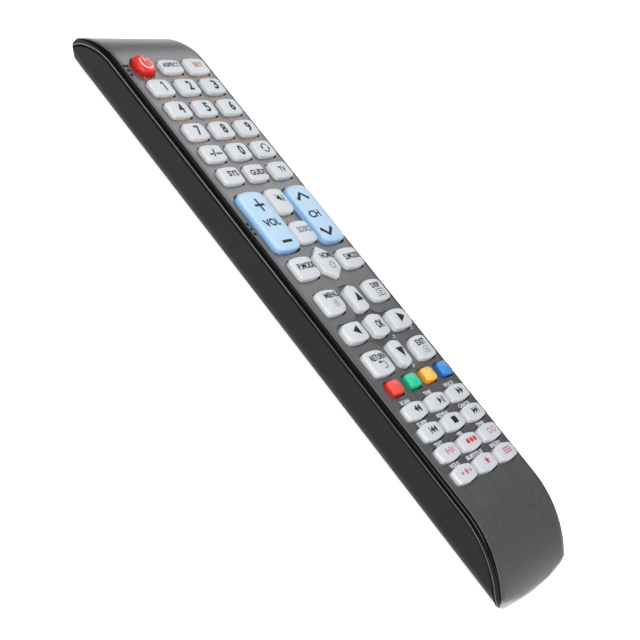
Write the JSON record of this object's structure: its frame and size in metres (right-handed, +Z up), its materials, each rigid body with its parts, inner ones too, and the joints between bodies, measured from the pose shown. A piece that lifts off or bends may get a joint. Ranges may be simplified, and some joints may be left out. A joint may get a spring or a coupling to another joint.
{
  "type": "television remote control",
  "caption": "Slim arched handheld infrared remote: brushed face plate, black shell, rows of rubber keys, two rocker keys, hinged battery cover underneath.",
  "frame": {"origin": "centre of the flat underside, under the middle of the handset", "axes": "+Y towards the infrared emitter end, along the length; +Z up out of the key side; +X to the right with the emitter end pointing away"},
  "size_m": [0.0494, 0.2388, 0.0215],
  "materials": {
    "brushed_face": "brushed metallic film on a thin plate",
    "gloss_black": "polished black",
    "charcoal": "satin charcoal",
    "white_rubber": "lacquered silicone",
    "pale_blue_rubber": "lacquered silicone",
    "red_power": "lacquered silicone",
    "red_rubber": "lacquered silicone",
    "green_rubber": "lacquered silicone",
    "yellow_rubber": "lacquered silicone",
    "blue_rubber": "lacquered silicone",
    "membrane": "plain silicone",
    "board": "lacquered laminate",
    "emitter_lens": "tinted clear epoxy",
    "cell_jacket": "printed jacket",
    "contact_metal": "nickel plated",
    "screw_steel": "black oxide"
  },
  "bodies": {
    "root": {"face_panel": "brushed_face", "upper_case": "gloss_black", "lower_case": "charcoal", "keypad_mat": "membrane", "circuit_board": "board", "ir_emitter": "emitter_lens", "battery_cells": "cell_jacket", "battery_contacts": "contact_metal", "case_screws": "screw_steel"},
    "battery_cover": {"battery_cover": "charcoal"},
    "power_key": {"power_key": "red_power"},
    "aspect_key": {"aspect_key": "white_rubber"},
    "set_key": {"set_key": "white_rubber"},
    "digit_1_key": {"digit_1_key": "white_rubber"},
    "digit_2_key": {"digit_2_key": "white_rubber"},
    "digit_3_key": {"digit_3_key": "white_rubber"},
    "digit_4_key": {"digit_4_key": "white_rubber"},
    "digit_5_key": {"digit_5_key": "white_rubber"},
    "digit_6_key": {"digit_6_key": "white_rubber"},
    "digit_7_key": {"digit_7_key": "white_rubber"},
    "digit_8_key": {"digit_8_key": "white_rubber"},
    "digit_9_key": {"digit_9_key": "white_rubber"},
    "dash_key": {"dash_key": "white_rubber"},
    "digit_0_key": {"digit_0_key": "white_rubber"},
    "swap_key": {"swap_key": "white_rubber"},
    "system_key": {"system_key": "white_rubber"},
    "guide_key": {"guide_key": "white_rubber"},
    "tv_key": {"tv_key": "white_rubber"},
    "volume_rocker": {"volume_rocker": "pale_blue_rubber"},
    "channel_rocker": {"channel_rocker": "pale_blue_rubber"},
    "mute_key": {"mute_key": "white_rubber"},
    "source_key": {"source_key": "white_rubber"},
    "picture_mode_key": {"picture_mode_key": "white_rubber"},
    "home_key": {"home_key": "white_rubber"},
    "sound_mode_key": {"sound_mode_key": "white_rubber"},
    "menu_key": {"menu_key": "white_rubber"},
    "up_key": {"up_key": "white_rubber"},
    "display_key": {"display_key": "white_rubber"},
    "left_key": {"left_key": "white_rubber"},
    "ok_key": {"ok_key": "white_rubber"},
    "right_key": {"right_key": "white_rubber"},
    "return_key": {"return_key": "white_rubber"},
    "down_key": {"down_key": "white_rubber"},
    "exit_key": {"exit_key": "white_rubber"},
    "red_key": {"red_key": "red_rubber"},
    "green_key": {"green_key": "green_rubber"},
    "yellow_key": {"yellow_key": "yellow_rubber"},
    "blue_key": {"blue_key": "blue_rubber"},
    "rewind_key": {"rewind_key": "white_rubber"},
    "play_key": {"play_key": "white_rubber"},
    "forward_key": {"forward_key": "white_rubber"},
    "previous_key": {"previous_key": "white_rubber"},
    "stop_key": {"stop_key": "white_rubber"},
    "next_key": {"next_key": "white_rubber"},
    "app_1_key": {"app_1_key": "white_rubber"},
    "app_2_key": {"app_2_key": "white_rubber"},
    "app_3_key": {"app_3_key": "white_rubber"},
    "app_4_key": {"app_4_key": "white_rubber"},
    "app_5_key": {"app_5_key": "white_rubber"},
    "app_6_key": {"app_6_key": "white_rubber"}
  },
  "joints": [
    {"name": "power_press", "type": "slide", "parent": "root", "child": "power_key", "axis": [0, 0, -1], "range_m": [0, 0.0009], "stiffness_N_per_m": 700, "springref_m": -0.0003},
    {"name": "aspect_press", "type": "slide", "parent": "root", "child": "aspect_key", "axis": [0, 0, -1], "range_m": [0, 0.0009], "stiffness_N_per_m": 700, "springref_m": -0.0003},
    {"name": "set_press", "type": "slide", "parent": "root", "child": "set_key", "axis": [0, 0, -1], "range_m": [0, 0.0009], "stiffness_N_per_m": 700, "springref_m": -0.0003},
    {"name": "digit_1_press", "type": "slide", "parent": "root", "child": "digit_1_key", "axis": [0, 0, -1], "range_m": [0, 0.0009], "stiffness_N_per_m": 700, "springref_m": -0.0003},
    {"name": "digit_2_press", "type": "slide", "parent": "root", "child": "digit_2_key", "axis": [0, 0, -1], "range_m": [0, 0.0009], "stiffness_N_per_m": 700, "springref_m": -0.0003},
    {"name": "digit_3_press", "type": "slide", "parent": "root", "child": "digit_3_key", "axis": [0, 0, -1], "range_m": [0, 0.0009], "stiffness_N_per_m": 700, "springref_m": -0.0003},
    {"name": "digit_4_press", "type": "slide", "parent": "root", "child": "digit_4_key", "axis": [0, 0, -1], "range_m": [0, 0.0009], "stiffness_N_per_m": 700, "springref_m": -0.0003},
    {"name": "digit_5_press", "type": "slide", "parent": "root", "child": "digit_5_key", "axis": [0, 0, -1], "range_m": [0, 0.0009], "stiffness_N_per_m": 700, "springref_m": -0.0003},
    {"name": "digit_6_press", "type": "slide", "parent": "root", "child": "digit_6_key", "axis": [0, 0, -1], "range_m": [0, 0.0009], "stiffness_N_per_m": 700, "springref_m": -0.0003},
    {"name": "digit_7_press", "type": "slide", "parent": "root", "child": "digit_7_key", "axis": [0, 0, -1], "range_m": [0, 0.0009], "stiffness_N_per_m": 700, "springref_m": -0.0003},
    {"name": "digit_8_press", "type": "slide", "parent": "root", "child": "digit_8_key", "axis": [0, 0, -1], "range_m": [0, 0.0009], "stiffness_N_per_m": 700, "springref_m": -0.0003},
    {"name": "digit_9_press", "type": "slide", "parent": "root", "child": "digit_9_key", "axis": [0, 0, -1], "range_m": [0, 0.0009], "stiffness_N_per_m": 700, "springref_m": -0.0003},
    {"name": "dash_press", "type": "slide", "parent": "root", "child": "dash_key", "axis": [0, 0, -1], "range_m": [0, 0.0009], "stiffness_N_per_m": 700, "springref_m": -0.0003},
    {"name": "digit_0_press", "type": "slide", "parent": "root", "child": "digit_0_key", "axis": [0, 0, -1], "range_m": [0, 0.0009], "stiffness_N_per_m": 700, "springref_m": -0.0003},
    {"name": "swap_press", "type": "slide", "parent": "root", "child": "swap_key", "axis": [0, 0, -1], "range_m": [0, 0.0009], "stiffness_N_per_m": 700, "springref_m": -0.0003},
    {"name": "system_press", "type": "slide", "parent": "root", "child": "system_key", "axis": [0, 0, -1], "range_m": [0, 0.0009], "stiffness_N_per_m": 700, "springref_m": -0.0003},
    {"name": "guide_press", "type": "slide", "parent": "root", "child": "guide_key", "axis": [0, 0, -1], "range_m": [0, 0.0009], "stiffness_N_per_m": 700, "springref_m": -0.0003},
    {"name": "tv_press", "type": "slide", "parent": "root", "child": "tv_key", "axis": [0, 0, -1], "range_m": [0, 0.0009], "stiffness_N_per_m": 700, "springref_m": -0.0003},
    {"name": "volume_rock", "type": "hinge", "parent": "root", "child": "volume_rocker", "pos_m": [-0.0127, 0.0239, 0.0146], "axis": [1, 0, 0], "range_deg": [-2.4, 2.4], "stiffness_Nm_per_rad": 0.25},
    {"name": "channel_rock", "type": "hinge", "parent": "root", "child": "channel_rocker", "pos_m": [0.0143, 0.0239, 0.0146], "axis": [1, 0, 0], "range_deg": [-2.4, 2.4], "stiffness_Nm_per_rad": 0.25},
    {"name": "mute_press", "type": "slide", "parent": "root", "child": "mute_key", "axis": [0, 0, -1], "range_m": [0, 0.0009], "stiffness_N_per_m": 700, "springref_m": -0.0003},
    {"name": "source_press", "type": "slide", "parent": "root", "child": "source_key", "axis": [0, 0, -1], "range_m": [0, 0.0009], "stiffness_N_per_m": 700, "springref_m": -0.0003},
    {"name": "picture_mode_press", "type": "slide", "parent": "root", "child": "picture_mode_key", "axis": [0, 0, -1], "range_m": [0, 0.0009], "stiffness_N_per_m": 700, "springref_m": -0.0003},
    {"name": "home_press", "type": "slide", "parent": "root", "child": "home_key", "axis": [0, 0, -1], "range_m": [0, 0.0009], "stiffness_N_per_m": 700, "springref_m": -0.0003},
    {"name": "sound_mode_press", "type": "slide", "parent": "root", "child": "sound_mode_key", "axis": [0, 0, -1], "range_m": [0, 0.0009], "stiffness_N_per_m": 700, "springref_m": -0.0003},
    {"name": "menu_press", "type": "slide", "parent": "root", "child": "menu_key", "axis": [0, 0, -1], "range_m": [0, 0.0009], "stiffness_N_per_m": 700, "springref_m": -0.0003},
    {"name": "up_press", "type": "slide", "parent": "root", "child": "up_key", "axis": [0, 0, -1], "range_m": [0, 0.0009], "stiffness_N_per_m": 700, "springref_m": -0.0003},
    {"name": "display_press", "type": "slide", "parent": "root", "child": "display_key", "axis": [0, 0, -1], "range_m": [0, 0.0009], "stiffness_N_per_m": 700, "springref_m": -0.0003},
    {"name": "left_press", "type": "slide", "parent": "root", "child": "left_key", "axis": [0, 0, -1], "range_m": [0, 0.0009], "stiffness_N_per_m": 700, "springref_m": -0.0003},
    {"name": "ok_press", "type": "slide", "parent": "root", "child": "ok_key", "axis": [0, 0, -1], "range_m": [0, 0.0009], "stiffness_N_per_m": 700, "springref_m": -0.0003},
    {"name": "right_press", "type": "slide", "parent": "root", "child": "right_key", "axis": [0, 0, -1], "range_m": [0, 0.0009], "stiffness_N_per_m": 700, "springref_m": -0.0003},
    {"name": "return_press", "type": "slide", "parent": "root", "child": "return_key", "axis": [0, 0, -1], "range_m": [0, 0.0009], "stiffness_N_per_m": 700, "springref_m": -0.0003},
    {"name": "down_press", "type": "slide", "parent": "root", "child": "down_key", "axis": [0, 0, -1], "range_m": [0, 0.0009], "stiffness_N_per_m": 700, "springref_m": -0.0003},
    {"name": "exit_press", "type": "slide", "parent": "root", "child": "exit_key", "axis": [0, 0, -1], "range_m": [0, 0.0009], "stiffness_N_per_m": 700, "springref_m": -0.0003},
    {"name": "red_press", "type": "slide", "parent": "root", "child": "red_key", "axis": [0, 0, -1], "range_m": [0, 0.0009], "stiffness_N_per_m": 700, "springref_m": -0.0003},
    {"name": "green_press", "type": "slide", "parent": "root", "child": "green_key", "axis": [0, 0, -1], "range_m": [0, 0.0009], "stiffness_N_per_m": 700, "springref_m": -0.0003},
    {"name": "yellow_press", "type": "slide", "parent": "root", "child": "yellow_key", "axis": [0, 0, -1], "range_m": [0, 0.0009], "stiffness_N_per_m": 700, "springref_m": -0.0003},
    {"name": "blue_press", "type": "slide", "parent": "root", "child": "blue_key", "axis": [0, 0, -1], "range_m": [0, 0.0009], "stiffness_N_per_m": 700, "springref_m": -0.0003},
    {"name": "rewind_press", "type": "slide", "parent": "root", "child": "rewind_key", "axis": [0, 0, -1], "range_m": [0, 0.0009], "stiffness_N_per_m": 700, "springref_m": -0.0003},
    {"name": "play_press", "type": "slide", "parent": "root", "child": "play_key", "axis": [0, 0, -1], "range_m": [0, 0.0009], "stiffness_N_per_m": 700, "springref_m": -0.0003},
    {"name": "forward_press", "type": "slide", "parent": "root", "child": "forward_key", "axis": [0, 0, -1], "range_m": [0, 0.0009], "stiffness_N_per_m": 700, "springref_m": -0.0003},
    {"name": "previous_press", "type": "slide", "parent": "root", "child": "previous_key", "axis": [0, 0, -1], "range_m": [0, 0.0009], "stiffness_N_per_m": 700, "springref_m": -0.0003},
    {"name": "stop_press", "type": "slide", "parent": "root", "child": "stop_key", "axis": [0, 0, -1], "range_m": [0, 0.0009], "stiffness_N_per_m": 700, "springref_m": -0.0003},
    {"name": "next_press", "type": "slide", "parent": "root", "child": "next_key", "axis": [0, 0, -1], "range_m": [0, 0.0009], "stiffness_N_per_m": 700, "springref_m": -0.0003},
    {"name": "app_1_press", "type": "slide", "parent": "root", "child": "app_1_key", "axis": [0, 0, -1], "range_m": [0, 0.0009], "stiffness_N_per_m": 700, "springref_m": -0.0003},
    {"name": "app_2_press", "type": "slide", "parent": "root", "child": "app_2_key", "axis": [0, 0, -1], "range_m": [0, 0.0009], "stiffness_N_per_m": 700, "springref_m": -0.0003},
    {"name": "app_3_press", "type": "slide", "parent": "root", "child": "app_3_key", "axis": [0, 0, -1], "range_m": [0, 0.0009], "stiffness_N_per_m": 700, "springref_m": -0.0003},
    {"name": "app_4_press", "type": "slide", "parent": "root", "child": "app_4_key", "axis": [0, 0, -1], "range_m": [0, 0.0009], "stiffness_N_per_m": 700, "springref_m": -0.0003},
    {"name": "app_5_press", "type": "slide", "parent": "root", "child": "app_5_key", "axis": [0, 0, -1], "range_m": [0, 0.0009], "stiffness_N_per_m": 700, "springref_m": -0.0003},
    {"name": "app_6_press", "type": "slide", "parent": "root", "child": "app_6_key", "axis": [0, 0, -1], "range_m": [0, 0.0009], "stiffness_N_per_m": 700, "springref_m": -0.0003},
    {"name": "battery_cover_hinge", "type": "hinge", "parent": "root", "child": "battery_cover", "pos_m": [0, -0.0334, 0.0012], "axis": [1, 0, 0], "range_deg": [0, 80]}
  ]
}
